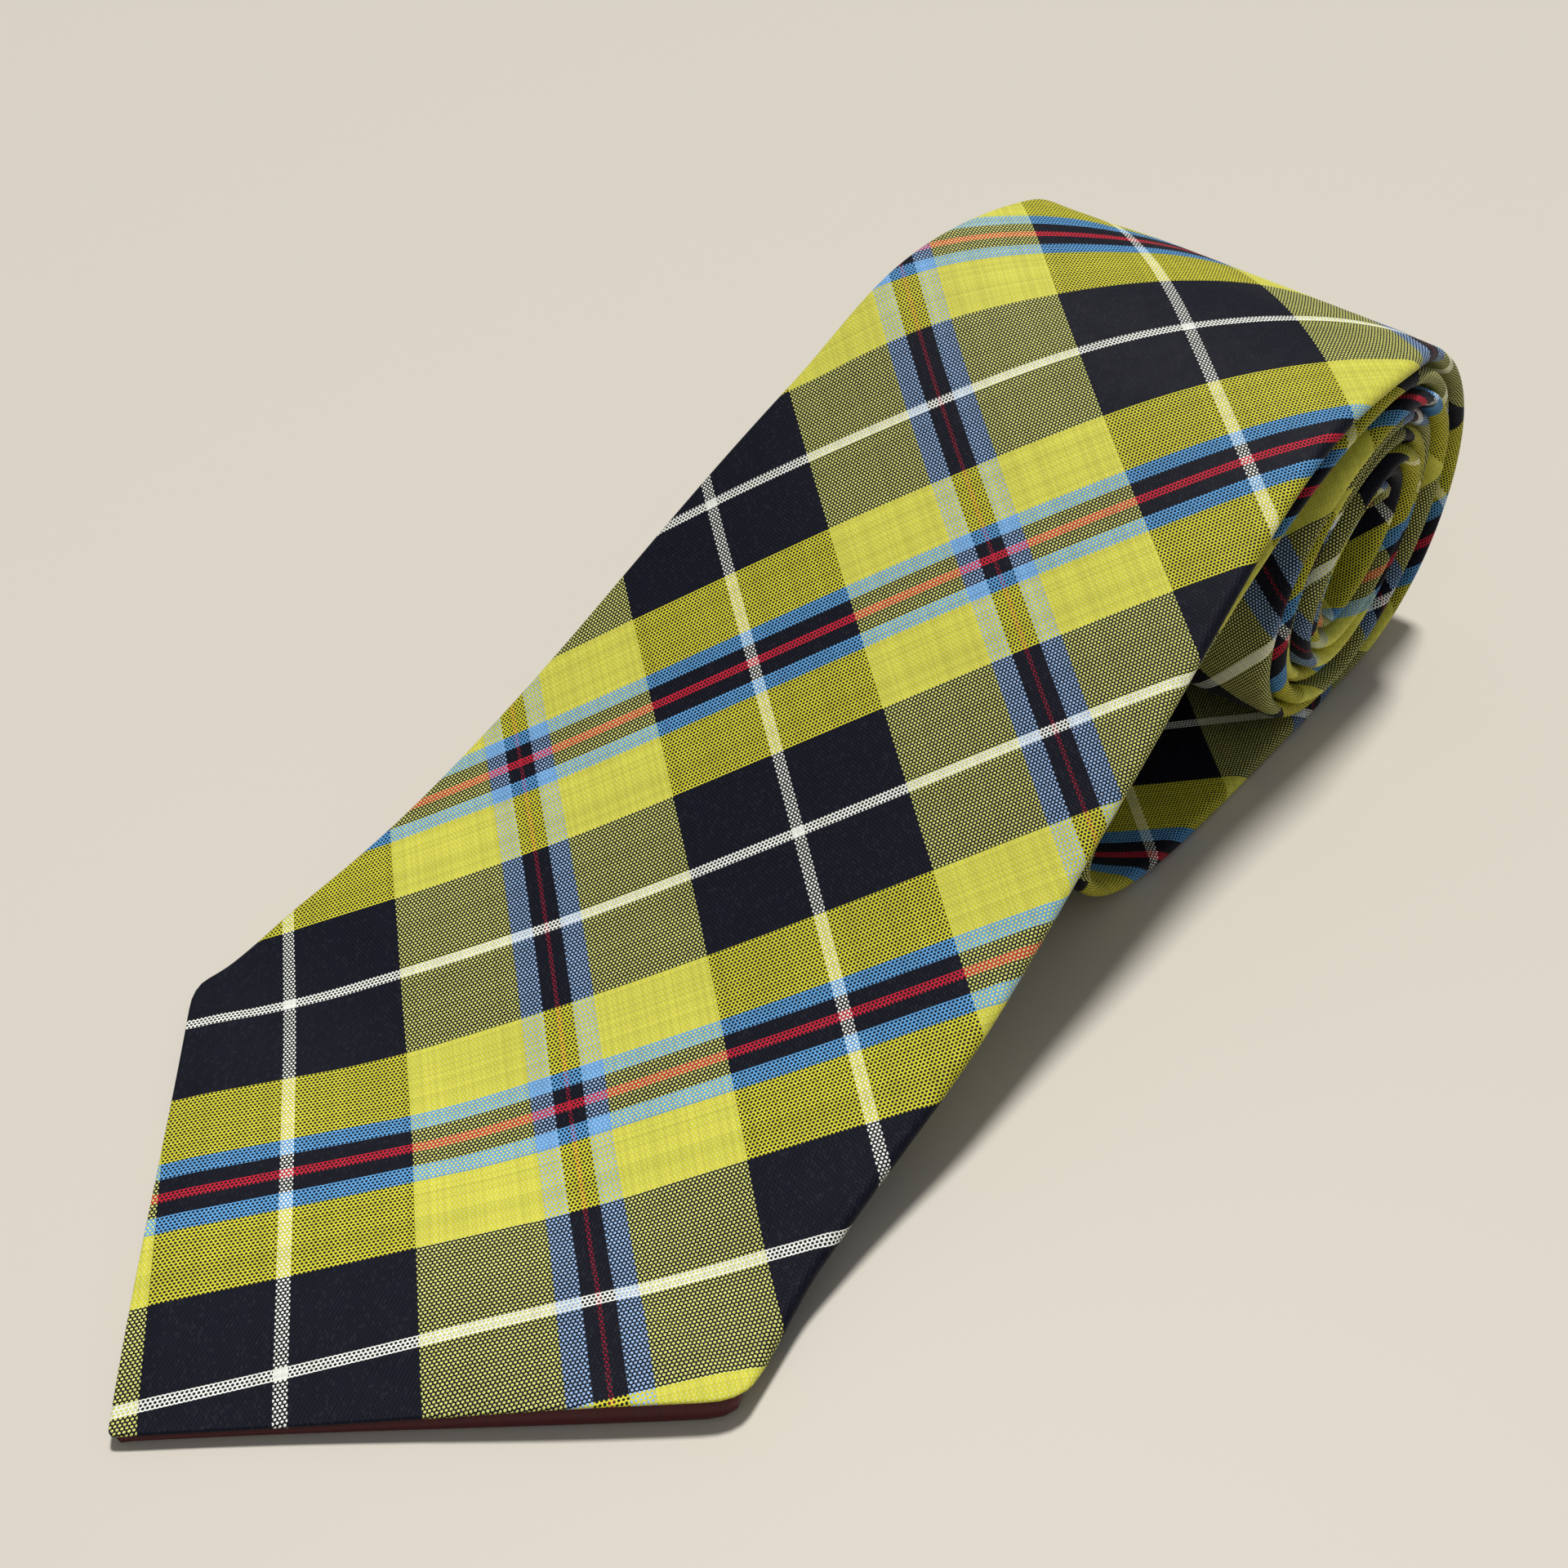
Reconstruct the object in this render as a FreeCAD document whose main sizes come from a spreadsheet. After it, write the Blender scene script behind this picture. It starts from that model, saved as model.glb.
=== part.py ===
"""A rolled necktie: the front blade runs down from a loose roll to its pointed tip.

Frame: X across the tie, Y from the tip towards the roll, Z up, millimetres.
The tie is a flat band that follows one centre line in the YZ plane, so each long
piece is a section swept along a stretch of that line. Inside the roll the band moves
to the right as it narrows. Arc lengths are counted from the tip. The tip lies flat
and is made of pads.
"""
import FreeCAD, Part
import math
import os

import Sketcher
from FreeCAD import Placement, Rotation, Vector

DIMENSIONS = (
    # alias, value, what it is
    ("blade_width", 95.0, "width of the front blade at its shoulders"),
    ("neck_width", 32.0, "width of the narrow neck"),
    ("tail_width", 41.0, "width of the narrow tail blade"),
    ("band_thickness", 2.5, "folded thickness of the whole tie"),
    ("cloth", 0.4, "thickness of the twill shell cloth"),
    ("ply_gap", 0.1, "air between two plies"),
    ("interlining_thickness", 1.2, "thickness of the woollen interlining"),
    ("tipping_thickness", 0.25, "thickness of the tipping lining"),
    ("hem_width", 1.5, "shell cloth turned over the back at the tip"),
    ("back_slit", 0.8, "gap between the two back folds at the centre seam"),
    ("tip_length", 47.5, "tip to shoulder along the tie"),
    ("back_closed", 140.0, "arc length where the two back folds meet"),
    ("lift_line", 176.0, "arc length to the fold line where the blade leaves the roll"),
    ("taper_end", 500.0, "arc length where the front blade reaches neck width"),
    ("flush_edge", 34.1, "how far right of the tip's middle the roll's turns all end"),
    ("front_seam", 520.0, "arc length to the seam between front blade and neck"),
    ("tail_seam", 800.0, "arc length to the seam between neck and tail"),
    ("tail_split", 955.0, "arc length where the tail's shell is divided inside the roll"),
    ("tail_widening", 200.0, "length over which the tail reaches its width"),
    ("tail_opening", 80.0, "length over which the tail's back folds part"),
    ("joint_gap", 0.3, "gap across each fold line and seam"),
    ("label_width", 52.0, "blank label, across the tie"),
    ("label_height", 26.0, "blank label, along the tie"),
    ("label_thickness", 0.35, "woven label"),
    ("label_arc", 112.0, "arc length to the middle of the label"),
    ("keeper_arc", 153.0, "arc length to the middle of the keeper loop"),
    ("keeper_width", 46.0, "keeper loop, across the tie"),
    ("keeper_height", 13.0, "keeper loop, along the tie"),
    ("keeper_foot", 4.0, "sewn end of the keeper loop, across the tie"),
    ("keeper_rise", 1.6, "clear height under the keeper loop"),
    ("tack_width", 9.0, "bar tack, across the tie"),
    ("tack_height", 1.4, "bar tack, along the tie"),
    ("tack_thickness", 0.45, "bar tack"),
    ("tab_width", 16.0, "blank care tab, across the tie"),
    ("tab_height", 13.0, "blank care tab, along the tie"),
    ("tab_thickness", 0.3, "satin care tab"),
    ("thread", 0.35, "thickness of the slip-stitch thread"),
)

# The centre line's outer run, from the tip to the top of the second turn, as (Y, Z).
OUTER_RUN = (
    (0.0, 1.25), (24.0, 1.25), (48.0, 1.27), (56.0, 2.2), (64.0, 4.2), (83.0, 10.6), (102.0, 19.6),
    (120.0, 29.6), (138.0, 40.2), (156.0, 50.2), (172.0, 57.4), (187.0, 60.4),
    (203.0, 58.6), (217.0, 51.0), (226.0, 38.5), (228.6, 24.5), (223.5, 10.5), (212.0, 3.0),
    (196.0, 1.4), (171.0, 1.3), (148.0, 1.9), (133.0, 5.4), (127.0, 12.5), (131.0, 21.5),
    (143.5, 33.0), (159.0, 45.0), (174.0, 53.2), (188.0, 57.2),
)
# The inner turns are a leaning oval that shrinks towards its middle.
CORE_CENTRE = (192.5, 30.6)
CORE_LEAN = math.radians(52.0)
CORE_LONG = 27.8
CORE_SHORT = 23.4
CORE_PITCH = 2.85
CORE_TURNS = 6.6
CORE_STEP = math.radians(20.0)

STATION_STEP = 2.5
STATIONS_A_FACE = 8
AXIS_MARGIN = 0.02


def make_sheet(doc):
    """The sheet of driving dimensions, one alias a row."""
    sheet = doc.addObject("Spreadsheet::Sheet", "Dimensions")
    for row, (alias, value, meaning) in enumerate(DIMENSIONS, start=1):
        sheet.set("A%d" % row, alias)
        sheet.set("B%d" % row, str(value))
        sheet.set("C%d" % row, meaning)
        sheet.setAlias("B%d" % row, alias)
    doc.recompute()
    return sheet


doc = FreeCAD.newDocument("Necktie")
sheet = make_sheet(doc)


def size(alias):
    return float(sheet.get(alias))


HALF = size("band_thickness") / 2
CLOTH = size("cloth")
GAP = size("joint_gap") / 2


# ---- the centre line ----------------------------------------------------------


def core_point(turned):
    """A point of the inner oval spiral, turned clockwise from its top."""
    shrink = CORE_PITCH * turned / (2 * math.pi)
    top = math.atan2(CORE_SHORT * math.cos(CORE_LEAN), CORE_LONG * math.sin(CORE_LEAN))
    along = (CORE_LONG - shrink) * math.cos(top - turned)
    across = (CORE_SHORT - shrink) * math.sin(top - turned)
    y = CORE_CENTRE[0] + along * math.cos(CORE_LEAN) - across * math.sin(CORE_LEAN)
    z = CORE_CENTRE[1] + along * math.sin(CORE_LEAN) + across * math.cos(CORE_LEAN)
    return y, z


def make_centre_line():
    """One smooth edge through the outer run and the inner turns."""
    points = [Vector(0, y, z) for y, z in OUTER_RUN]
    last = int(CORE_TURNS * 2 * math.pi / CORE_STEP)
    points += [Vector(0, *core_point(step * CORE_STEP)) for step in range(2, last + 1)]
    curve = Part.BSplineCurve()
    curve.interpolate(points)
    return curve.toShape()


centre_line = make_centre_line()
TIE_LENGTH = centre_line.Length
TAIL_START = TIE_LENGTH - size("tail_width") / 2


def slope(arc):
    """The direction of travel at an arc length, as a unit vector."""
    return centre_line.tangentAt(centre_line.getParameterByLength(arc))


def drift(arc):
    """How far the tie's middle moves right, so the roll's right edges lie flush."""
    wanted = size("flush_edge") - half_width(arc)
    return wanted if wanted > 1 else max(wanted + 1, 0) ** 2 / 4


def place(arc, across, out):
    """A point at an arc length, so far across the tie and out from its centre line."""
    tangent = slope(arc)
    normal = Vector(0, -tangent.z, tangent.y)
    centre = centre_line.valueAt(centre_line.getParameterByLength(arc))
    return centre + normal * out + Vector(across + drift(arc), 0, 0)


# ---- the tie's outline ----------------------------------------------------------


def half_width(arc):
    """Half the tie's width: the blade narrows to the neck, then the tail widens."""
    neck = size("neck_width") / 2
    if arc < size("taper_end"):
        left = (size("taper_end") - arc) / (size("taper_end") - size("tip_length"))
        return neck + (size("blade_width") / 2 - neck) * left ** 1.5
    widened = min(max(arc - size("tail_seam"), 0) / size("tail_widening"), 1)
    return neck + (size("tail_width") / 2 - neck) * widened ** 2 * (3 - 2 * widened)


def back_opening(arc):
    """Half the gap between the back folds, which part towards each pointed end."""
    closed = size("back_slit") / 2
    if arc < size("back_closed"):
        open_part = (size("back_closed") - arc) / (size("back_closed") - size("tip_length"))
        widest = size("blade_width") / 2 - size("hem_width") - closed
        return closed + widest * open_part ** 2
    open_part = max(arc - TAIL_START + size("tail_opening"), 0) / size("tail_opening")
    widest = size("tail_width") / 2 - size("hem_width") - closed
    return closed + widest * open_part ** 2


# ---- sections across the tie: (across, out) corners -------------------------------


def shell_section(arc):
    """The folded cloth: front, two side folds and two back folds in one strip."""
    side = half_width(arc)
    slit = back_opening(arc)
    right = [
        (side, HALF), (side, -HALF), (slit, -HALF), (slit, CLOTH - HALF),
        (side - CLOTH, CLOTH - HALF), (side - CLOTH, HALF - CLOTH),
    ]
    left = [(-across, out) for across, out in reversed(right)]
    return right + left


def slab_section(half, low, high):
    return [(-half, low), (half, low), (half, high), (-half, high)]


def interlining_section(arc):
    high = HALF - CLOTH - size("ply_gap")
    half = half_width(arc) - CLOTH - size("ply_gap") * 2
    return slab_section(half, high - size("interlining_thickness"), high)


def tipping_section(arc):
    low = CLOTH - HALF + size("ply_gap") * 0.7
    half = half_width(arc) - CLOTH - size("ply_gap") * 4
    return slab_section(half, low, low + size("tipping_thickness"))


def thread_section(arc):
    half = size("thread") / 2
    return slab_section(half, AXIS_MARGIN - HALF, AXIS_MARGIN - HALF + size("thread"))


def point_section(arc):
    """The mitred end of the tail, which narrows at 45 degrees."""
    half = max(TIE_LENGTH - arc, 0.8)
    return slab_section(half, -HALF, HALF)


def keeper_section(arc):
    """A flat bridge under the back: two sewn feet and a raised band."""
    outer = size("keeper_width") / 2
    inner = outer - size("keeper_foot")
    foot = -HALF - AXIS_MARGIN
    roof = -HALF - size("keeper_rise")
    bottom = roof - CLOTH * 2
    return [
        (-outer, foot), (-inner, foot), (-inner, roof), (inner, roof),
        (inner, foot), (outer, foot), (outer, bottom), (-outer, bottom),
    ]


def label_section(arc):
    top = -HALF - AXIS_MARGIN
    return slab_section(size("label_width") / 2, top - size("label_thickness"), top)


# ---- makers --------------------------------------------------------------------


def stations(start, end, step):
    count = max(2, math.ceil((end - start) / step))
    return [start + (end - start) * index / count for index in range(count + 1)]


def smooth_rail(points, arcs, cuts):
    """One smooth curve through the points, cut into edges at the given arc lengths."""
    curve = Part.BSplineCurve()
    curve.interpolate(Points=list(points), Parameters=arcs)
    return [curve.toShape(low, high) for low, high in zip(cuts, cuts[1:])]


def strip(label, start, end, section, step=STATION_STEP):
    """A section swept along the centre line from one arc length to another.

    Each corner of the section draws a smooth rail, and a ruled face joins each pair of
    neighbouring rails. The first and last sections close the solid.
    """
    arcs = stations(start, end, step)
    rings = [[place(arc, across, out) for across, out in section(arc)] for arc in arcs]
    cuts = arcs[:-1:STATIONS_A_FACE] + arcs[-1:]
    rails = [smooth_rail(corner, arcs, cuts) for corner in zip(*rings)]
    faces = [Part.Face(Part.makePolygon(ring + ring[:1])) for ring in (rings[0], rings[-1])]
    for rail, after in zip(rails, rails[1:] + rails[:1]):
        faces += [Part.makeRuledSurface(one, other) for one, other in zip(rail, after)]
    shell = Part.makeShell(faces)
    shell.sewShape()
    solid = Part.makeSolid(shell)
    if solid.Volume < 0:
        solid.reverse()
    feature = doc.addObject("Part::Feature", label)
    feature.Label = label
    feature.Shape = solid
    feature.Placement = Placement()
    return feature


def seam(label, arc):
    """The sewn joint between two lengths of shell, in the gap between them."""
    thin = GAP * 0.6
    return strip(label, arc - thin, arc + thin, shell_section)


def new_body(label):
    body = doc.addObject("PartDesign::Body", label)
    body.Label = label
    return body


def origin_plane(body, role):
    return next(plane for plane in body.Origin.OriginFeatures if plane.Role == role)


def outline(body, name, corners, height="0"):
    """A closed sketch over the body's XY plane, each corner bound to the sheet."""
    sketch = body.newObject("Sketcher::SketchObject", name)
    sketch.AttachmentSupport = [(origin_plane(body, "XY_Plane"), "")]
    sketch.MapMode = "FlatFace"
    sketch.setExpression("AttachmentOffset.Base.z", "( %s ) * 1 mm" % bound(height))
    count = len(corners)
    drawn = [[sketch.evalExpression(bound(value)) for value in corner] for corner in corners]
    points = [Vector(x, y, 0) for x, y in drawn]
    for index in range(count):
        sketch.addGeometry(Part.LineSegment(points[index], points[(index + 1) % count]), False)
    for index in range(count):
        sketch.addConstraint(Sketcher.Constraint("Coincident", index, 2, (index + 1) % count, 1))
    for index, corner in enumerate(corners):
        for axis, expression, value in zip("XY", corner, drawn[index]):
            rule = Sketcher.Constraint("Distance" + axis, -1, 1, index, 1, value)
            title = "corner%d%s" % (index, axis.lower())
            sketch.renameConstraint(sketch.addConstraint(rule), title)
            sketch.setExpression("Constraints." + title, bound(expression))
    return sketch


def bound(expression):
    """An expression of plain aliases, written against the sheet."""
    words = sorted((row[0] for row in DIMENSIONS), key=len, reverse=True)
    parts = []
    for token in expression.replace("(", " ( ").replace(")", " ) ").split():
        parts.append("Dimensions." + token if token in words else token)
    return " ".join(parts)


def pad(body, sketch, length):
    feature = body.newObject("PartDesign::Pad", sketch.Name + "Pad")
    feature.Profile = sketch
    feature.setExpression("Length", bound(length))
    sketch.Visibility = False
    return feature


def patch(label, arc, across, width, height, thickness):
    """A small flat piece sewn to the back of the band, as a padded rectangle."""
    body = new_body(label)
    x, y = "%s / 2" % width, "%s / 2" % height
    corners = [("-1 * " + x, "-1 * " + y), (x, "-1 * " + y), (x, y), ("-1 * " + x, y)]
    pad(body, outline(body, label + "_outline", corners), thickness)
    tangent = slope(arc)
    turn = Rotation(Vector(1, 0, 0), math.degrees(math.atan2(tangent.z, tangent.y)))
    out = -HALF - AXIS_MARGIN - size(thickness)
    body.Placement = Placement(place(arc, across, out), turn)
    return body


# ---- the pieces ------------------------------------------------------------------


def vee(inset, border):
    """A V-shaped strip along both tip edges, and its width measured across them."""
    edge = "tip_length - joint_gap / 2"
    outer, inner = "%s * 1.41421" % inset, "( %s + %s ) * 1.41421" % (inset, border)
    return [
        ("0", outer), ("%s - %s" % (edge, outer), edge), ("%s - %s" % (edge, inner), edge),
        ("0", inner), ("-1 * ( %s - %s )" % (edge, inner), edge),
        ("-1 * ( %s - %s )" % (edge, outer), edge),
    ]


def arrow(inset):
    """The tip's triangle, drawn in from its two edges."""
    edge = "tip_length - joint_gap / 2"
    inward = "( %s ) * 1.41421" % inset
    return [
        ("0", inward), ("%s - %s" % (edge, inward), edge), ("-1 * ( %s - %s )" % (edge, inward), edge),
    ]


def make_tip():
    """The pointed tip: shell with its turned hem, the tipping and the interlining."""
    shell = new_body("tip_shell")
    pad(shell, outline(shell, "tip_rim", vee("0", "cloth")), "band_thickness - cloth")
    pad(shell, outline(shell, "tip_front", arrow("0"), "band_thickness - cloth"), "cloth")
    pad(shell, outline(shell, "tip_hem", vee("0", "hem_width")), "cloth")

    lining = new_body("tip_tipping")
    pad(lining, outline(lining, "tip_lining", arrow("cloth + ply_gap * 4"),
                        "cloth + ply_gap * 0.7"), "tipping_thickness")

    wool = new_body("tip_interlining")
    pad(wool, outline(wool, "tip_wool", arrow("cloth + ply_gap * 2"),
                      "band_thickness - cloth - ply_gap - interlining_thickness"),
        "interlining_thickness")


def make_blade():
    """The front blade from the shoulders to the fold line at the roll."""
    start = size("tip_length") + GAP
    end = size("lift_line") - GAP
    strip("blade_shell", start, end, shell_section)
    strip("blade_tipping", start, size("back_closed") + 8, tipping_section)
    strip("blade_interlining", start, end, interlining_section)
    strip("blade_slip_stitch", size("back_closed") + 4, end, thread_section)
    patch("front_bar_tack", size("back_closed") + 1.5, 0, "tack_width", "tack_height", "tack_thickness")


def make_keeper():
    arc = size("keeper_arc")
    reach = size("keeper_height") / 2
    strip("keeper_loop", arc - reach, arc + reach, keeper_section)


def make_labels():
    """The blank label and care tab on the back of the blade."""
    arc = size("label_arc")
    reach = size("label_height") / 2
    strip("blank_label", arc - reach, arc + reach, label_section)
    beside = arc + reach + size("tab_height") / 2 + 1
    patch("care_tab", beside, size("label_width") / 3, "tab_width", "tab_height", "tab_thickness")


def make_roll():
    """The rest of the tie, wound into the roll: front blade, neck and tail."""
    start = size("lift_line") + GAP
    front_seam = size("front_seam")
    tail_seam = size("tail_seam")
    strip("roll_blade_shell", start, front_seam - GAP, shell_section)
    seam("front_neck_seam", front_seam)
    strip("neck_shell", front_seam + GAP, tail_seam - GAP, shell_section)
    seam("neck_tail_seam", tail_seam)
    strip("tail_outer_shell", tail_seam + GAP, size("tail_split") - GAP, shell_section)
    strip("tail_inner_shell", size("tail_split") + GAP, TAIL_START - GAP, shell_section)
    strip("tail_point", TAIL_START + GAP, TIE_LENGTH, point_section)
    strip("front_interlining", start, (front_seam + tail_seam) / 2 - GAP, interlining_section)
    strip("tail_interlining", (front_seam + tail_seam) / 2 + GAP, TAIL_START - GAP * 4,
          interlining_section)
    strip("tail_tipping", TAIL_START - size("tail_opening"), TAIL_START - GAP * 4, tipping_section)
    strip("roll_slip_stitch", start, TAIL_START - size("tail_opening") - 4, thread_section)


make_tip()
make_blade()
make_keeper()
make_labels()
make_roll()
doc.recompute()

# ---- check and write ---------------------------------------------------------------


def sub_parts():
    for item in doc.Objects:
        if item.TypeId in ("PartDesign::Body", "Part::Feature"):
            yield item


def whole_box():
    box = FreeCAD.BoundBox()
    for item in sub_parts():
        box.add(item.Shape.optimalBoundingBox(False))
    return box


def stand_on_origin():
    """Move every sub-part so that the tie's box stands on the origin, centred."""
    box = whole_box()
    shift = Vector(0, -box.Center.y, -box.ZMin)
    for item in sub_parts():
        item.Placement = Placement(item.Placement.Base + shift, item.Placement.Rotation)
    doc.recompute()
    return shift


for item in doc.Objects:
    if "Invalid" in item.State or "Error" in item.State:
        raise RuntimeError("%s failed: %s" % (item.Label, item.State))

shift = stand_on_origin()
os.makedirs("parts", exist_ok=True)
for item in sub_parts():
    shape = item.Shape
    if shape.isNull() or not shape.isValid() or shape.Volume <= 0:
        raise RuntimeError("%s has no valid shape" % item.Label)
    shape.exportStep("parts/%s.step" % item.Label)
    box = shape.BoundBox
    print("%-20s %7.1f mm3  x %6.2f %6.2f  y %6.2f %6.2f  z %6.2f %6.2f  solids %d" % (
        item.Label, shape.Volume, box.XMin, box.XMax, box.YMin, box.YMax, box.ZMin, box.ZMax,
        len(shape.Solids)))
print("tie length %.1f mm" % TIE_LENGTH)
print("tip fold line", Vector(0, size("tip_length"), 2 * HALF) + shift)
print("lift line", place(size("lift_line"), 0, HALF) + shift)
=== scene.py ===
"""A rolled necktie: check twill shell, satin tipping, wool interlining and its trim.

Everything is worked out along the tie's centre line in a flat frame in millimetres:
`arc` is the length from the tip, `across` is to the right and `out` is away from the
band's middle towards its front. place() turns that into row-frame metres.
"""

import math

import bmesh
import bpy
import numpy as np
from mathutils import Matrix, Vector


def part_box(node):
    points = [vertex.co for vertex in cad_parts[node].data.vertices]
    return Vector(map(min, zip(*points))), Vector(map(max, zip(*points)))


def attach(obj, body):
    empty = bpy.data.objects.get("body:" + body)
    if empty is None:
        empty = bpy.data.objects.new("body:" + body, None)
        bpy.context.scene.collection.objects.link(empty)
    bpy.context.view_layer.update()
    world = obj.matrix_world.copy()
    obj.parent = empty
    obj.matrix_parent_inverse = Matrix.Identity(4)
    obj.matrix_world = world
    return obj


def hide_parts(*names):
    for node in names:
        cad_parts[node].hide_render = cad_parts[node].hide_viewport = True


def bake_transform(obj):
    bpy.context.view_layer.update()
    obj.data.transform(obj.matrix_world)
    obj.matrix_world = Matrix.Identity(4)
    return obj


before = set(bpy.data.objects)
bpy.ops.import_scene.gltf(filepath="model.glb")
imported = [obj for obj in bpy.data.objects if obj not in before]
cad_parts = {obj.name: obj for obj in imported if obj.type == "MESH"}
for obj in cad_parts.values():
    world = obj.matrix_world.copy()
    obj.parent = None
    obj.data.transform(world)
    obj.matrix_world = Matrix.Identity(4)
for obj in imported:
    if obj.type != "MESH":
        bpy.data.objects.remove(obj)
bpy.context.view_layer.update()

MM = 0.001
TIP_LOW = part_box("tip_shell")[0]
TIP_Y = TIP_LOW[1] / MM
FLOOR = TIP_LOW[2] / MM

# ---- sizes, millimetres --------------------------------------------------------------

# The centre line: its outer run as (along, up) from the tip, then an oval spiral.
OUTER_RUN = (
    (0.0, 1.25), (24.0, 1.25), (48.0, 1.27), (56.0, 2.2), (64.0, 4.2), (83.0, 10.6),
    (102.0, 19.6), (120.0, 29.6), (138.0, 40.2), (156.0, 50.2), (172.0, 57.4), (187.0, 60.4),
    (203.0, 58.6), (217.0, 51.0), (226.0, 38.5), (228.6, 24.5), (223.5, 10.5), (212.0, 3.0),
    (196.0, 1.4), (171.0, 1.3), (148.0, 1.9), (133.0, 5.4), (127.0, 12.5), (131.0, 21.5),
    (143.5, 33.0), (159.0, 45.0), (174.0, 53.2), (188.0, 57.2),
)
CORE_CENTRE = (192.5, 30.6)
CORE_LEAN = math.radians(52.0)  # how steeply the oval's long axis rises
CORE_LONG = 27.8                # the oval's half axes, where the core begins
CORE_SHORT = 23.4
CORE_PITCH = 2.85               # how much they shrink with each turn
CORE_TURNS = 6.6
CORE_STEP = math.radians(20.0)  # between the spiral's spline points
CORE_SKIPPED = 2                # spiral points left out, where the outer run leads in
LINE_SAMPLES = 16000

# The band's outline.
HALF = 1.25            # half the folded band's thickness
BLADE_HALF = 47.5
NECK_HALF = 16.0
TAIL_HALF = 20.5
TIP_START = 1.3        # where the visible point begins
TIP_SLOPE = 1.075      # its sides open a little wider than a right angle
SHOULDER = 47.5        # where the point meets the blade's sides
BACK_CLOSED = 140.0    # where the blade's back folds have met
LIFT_LINE = 176.0      # where the blade lifts off the roll
TAPER_END = 500.0      # where the blade has narrowed to the neck
TAPER_POWER = 1.5      # 1 would narrow the blade evenly
BLADE_SWELL = 0.8      # how much wider the blade bellies behind its shoulders
TIP_ROUND = 0.8        # how blunt the front point is
TAIL_ROUND = 1.2       # how blunt the tail's point is
FRONT_SEAM = 520.0     # blade to neck
TAIL_SEAM = 800.0      # neck to tail
TAIL_WIDENING = 200.0  # length over which the neck widens to the tail
TAIL_OPENING = 80.0    # length over which the tail's back folds part
TIP_CUT = 112.0        # where the tip's cloth piece ends and the blade's begins
BLADE_CUT = 300.0      # where the blade's cloth piece ends, under the roll
SEAM_GAP = 0.1         # half the gap a seam piece fills

# How the soft tie has settled.
FLUSH_EDGE = 34.1      # how far right of the tip's middle the roll's turns all end
UNSTEADY = 0.9         # how much the inner turns waver from that
WAVER = 47.0           # length over which they do
OUTER_TURN_IN = 2.0    # how much further left the outer turn lies
ROLL_LEAN = 5.9        # how far the soft roll settles to the right
LEAN_FROM = 60.0       # where along the table that begins
LEAN_OVER = 127.0      # and the length over which it grows
CREST_TILT = 2.6       # how far the crest drops at its right end
CREST_HALF = 38.0      # half the crest's width
CREST_PEAK = 2.0       # how much further its left corner is pinched up
SHOULDER_LIFT = 2.6    # how far the right shoulder stands off the table

# The folded section.
CLOTH = 0.35           # the shell cloth's own thickness
HEM = 1.3              # about the least width of a back fold
SLIT = 0.4             # half the gap between closed back folds
FOLD_RADIUS = 1.5      # of the side folds
CURL_RADIUS = 0.4      # of the turned-in hems
FLAP = 5.5             # how deep the hems turn in
SOFT_EDGE = 6.0        # the front rounds down this far from its side fold
EDGE_DROP = 0.22       # and by this much
TIP_BACK = 0.45        # where the shell's back face lies at a point, out from the middle
WOOL_INSET = 2.4       # from the shell's edge to the wool's
SATIN = 0.18           # the tipping's own thickness


# ---- the centre line -----------------------------------------------------------------


def core_point(turned):
    """A point of the inner oval spiral, turned clockwise from its top."""
    shrink = CORE_PITCH * turned / (2 * math.pi)
    top = math.atan2(CORE_SHORT * math.cos(CORE_LEAN), CORE_LONG * math.sin(CORE_LEAN))
    along = (CORE_LONG - shrink) * math.cos(top - turned)
    across = (CORE_SHORT - shrink) * math.sin(top - turned)
    y = CORE_CENTRE[0] + along * math.cos(CORE_LEAN) - across * math.sin(CORE_LEAN)
    z = CORE_CENTRE[1] + along * math.sin(CORE_LEAN) + across * math.cos(CORE_LEAN)
    return y, z


def smooth_line(points, samples):
    """A natural cubic spline through the points, sampled evenly in chord length."""
    points = np.array(points, float)
    step = np.hypot(*np.diff(points, axis=0).T)
    knots = np.concatenate([[0], np.cumsum(step)])
    count = len(points)
    system = np.eye(count)
    right = np.zeros((count, 2))
    for i in range(1, count - 1):
        system[i, i - 1: i + 2] = step[i - 1], 2 * (step[i - 1] + step[i]), step[i]
        right[i] = 6 * ((points[i + 1] - points[i]) / step[i]
                        - (points[i] - points[i - 1]) / step[i - 1])
    bend = np.linalg.solve(system, right)
    at = np.linspace(0, knots[-1], samples)
    k = np.clip(np.searchsorted(knots, at) - 1, 0, count - 2)
    h = step[k][:, None]
    before, after = (at - knots[k])[:, None], (knots[k + 1] - at)[:, None]
    return ((bend[k] * after ** 3 + bend[k + 1] * before ** 3) / (6 * h)
            + (points[k] / h - bend[k] * h / 6) * after
            + (points[k + 1] / h - bend[k + 1] * h / 6) * before)


last_step = int(CORE_TURNS * 2 * math.pi / CORE_STEP)
core_line = [core_point(i * CORE_STEP) for i in range(CORE_SKIPPED, last_step + 1)]
LINE = smooth_line(list(OUTER_RUN) + core_line, LINE_SAMPLES)
LINE[:, 1] = np.maximum(LINE[:, 1], HALF)       # the spline may not dip under the table
ARC = np.concatenate([[0], np.cumsum(np.hypot(*np.diff(LINE, axis=0).T))])
TANGENT = np.gradient(LINE, ARC, axis=0)
TANGENT /= np.linalg.norm(TANGENT, axis=1)[:, None]
LENGTH = ARC[-1]
TAIL_START = LENGTH - TAIL_HALF


def smooth(t):
    """An even step from 0 to 1 as t goes from 0 to 1."""
    t = np.clip(t, 0, 1)
    return t * t * (3 - 2 * t)


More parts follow.
